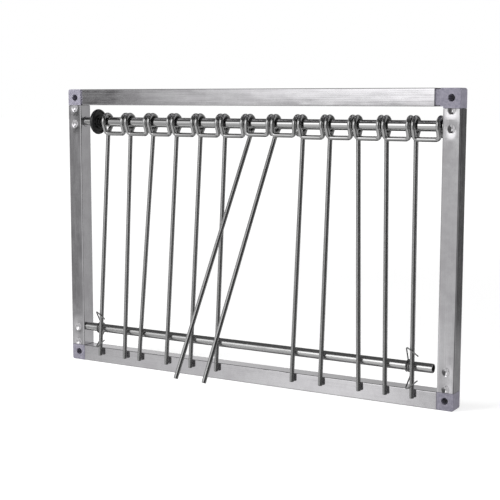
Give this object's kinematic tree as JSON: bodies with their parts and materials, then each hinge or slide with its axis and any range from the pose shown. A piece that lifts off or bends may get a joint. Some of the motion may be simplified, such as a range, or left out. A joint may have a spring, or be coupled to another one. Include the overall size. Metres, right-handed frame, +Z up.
{
  "type": "pigeon trap door",
  "caption": "Pigeon trap door: a tube frame with hinged wire bars that open one way and a clipped rod that lifts them all.",
  "frame": {"origin": "middle of the underside of the bottom rail, at mid-depth of the frame", "axes": "+X to the right along the rails, +Y through the frame towards the birds outside, +Z up; the bars open towards -Y"},
  "size_m": [0.398, 0.0997, 0.265],
  "materials": {
    "frame_tube": "mill finish, fine lengthwise grain",
    "corner_plastic": "fine matt",
    "polished_rod": "polished",
    "bob_wire": "drawn wire, satin",
    "clip_wire": "spring wire",
    "ring_rubber": "satin black"
  },
  "bodies": {
    "frame": {"top_rail": "frame_tube", "bottom_rail": "frame_tube", "left_post": "frame_tube", "right_post": "frame_tube", "top_left_connector": "corner_plastic", "top_right_connector": "corner_plastic", "bottom_left_connector": "corner_plastic", "bottom_right_connector": "corner_plastic", "upper_rod": "polished_rod", "rubber_ring": "ring_rubber"},
    "gate": {"lift_rod": "polished_rod", "bob_01": "bob_wire", "bob_13": "bob_wire", "left_clip": "clip_wire", "right_clip": "clip_wire"},
    "bob_02": {"bob_02": "bob_wire"},
    "bob_03": {"bob_03": "bob_wire"},
    "bob_04": {"bob_04": "bob_wire"},
    "bob_05": {"bob_05": "bob_wire"},
    "bob_06": {"bob_06": "bob_wire"},
    "bob_07": {"bob_07": "bob_wire"},
    "bob_08": {"bob_08": "bob_wire"},
    "bob_09": {"bob_09": "bob_wire"},
    "bob_10": {"bob_10": "bob_wire"},
    "bob_11": {"bob_11": "bob_wire"},
    "bob_12": {"bob_12": "bob_wire"}
  },
  "joints": [
    {"name": "gate_lift", "type": "hinge", "parent": "frame", "child": "gate", "pos_m": [0, 0, 0.2342], "axis": [-1, 0, 0], "range_deg": [0, 130]},
    {"name": "bob_02_swing", "type": "hinge", "parent": "gate", "child": "bob_02", "pos_m": [0, 0, 0.2342], "axis": [-1, 0, 0], "range_deg": [0, 150]},
    {"name": "bob_03_swing", "type": "hinge", "parent": "gate", "child": "bob_03", "pos_m": [0, 0, 0.2342], "axis": [-1, 0, 0], "range_deg": [0, 150]},
    {"name": "bob_04_swing", "type": "hinge", "parent": "gate", "child": "bob_04", "pos_m": [0, 0, 0.2342], "axis": [-1, 0, 0], "range_deg": [0, 150]},
    {"name": "bob_05_swing", "type": "hinge", "parent": "gate", "child": "bob_05", "pos_m": [0, 0, 0.2342], "axis": [-1, 0, 0], "range_deg": [0, 150]},
    {"name": "bob_06_swing", "type": "hinge", "parent": "gate", "child": "bob_06", "pos_m": [0, 0, 0.2342], "axis": [-1, 0, 0], "range_deg": [0, 150]},
    {"name": "bob_07_swing", "type": "hinge", "parent": "gate", "child": "bob_07", "pos_m": [0, 0, 0.2342], "axis": [-1, 0, 0], "range_deg": [-19, 131]},
    {"name": "bob_08_swing", "type": "hinge", "parent": "gate", "child": "bob_08", "pos_m": [0, 0, 0.2342], "axis": [-1, 0, 0], "range_deg": [-18, 132]},
    {"name": "bob_09_swing", "type": "hinge", "parent": "gate", "child": "bob_09", "pos_m": [0, 0, 0.2342], "axis": [-1, 0, 0], "range_deg": [0, 150]},
    {"name": "bob_10_swing", "type": "hinge", "parent": "gate", "child": "bob_10", "pos_m": [0, 0, 0.2342], "axis": [-1, 0, 0], "range_deg": [0, 150]},
    {"name": "bob_11_swing", "type": "hinge", "parent": "gate", "child": "bob_11", "pos_m": [0, 0, 0.2342], "axis": [-1, 0, 0], "range_deg": [0, 150]},
    {"name": "bob_12_swing", "type": "hinge", "parent": "gate", "child": "bob_12", "pos_m": [0, 0, 0.2342], "axis": [-1, 0, 0], "range_deg": [0, 150]}
  ]
}
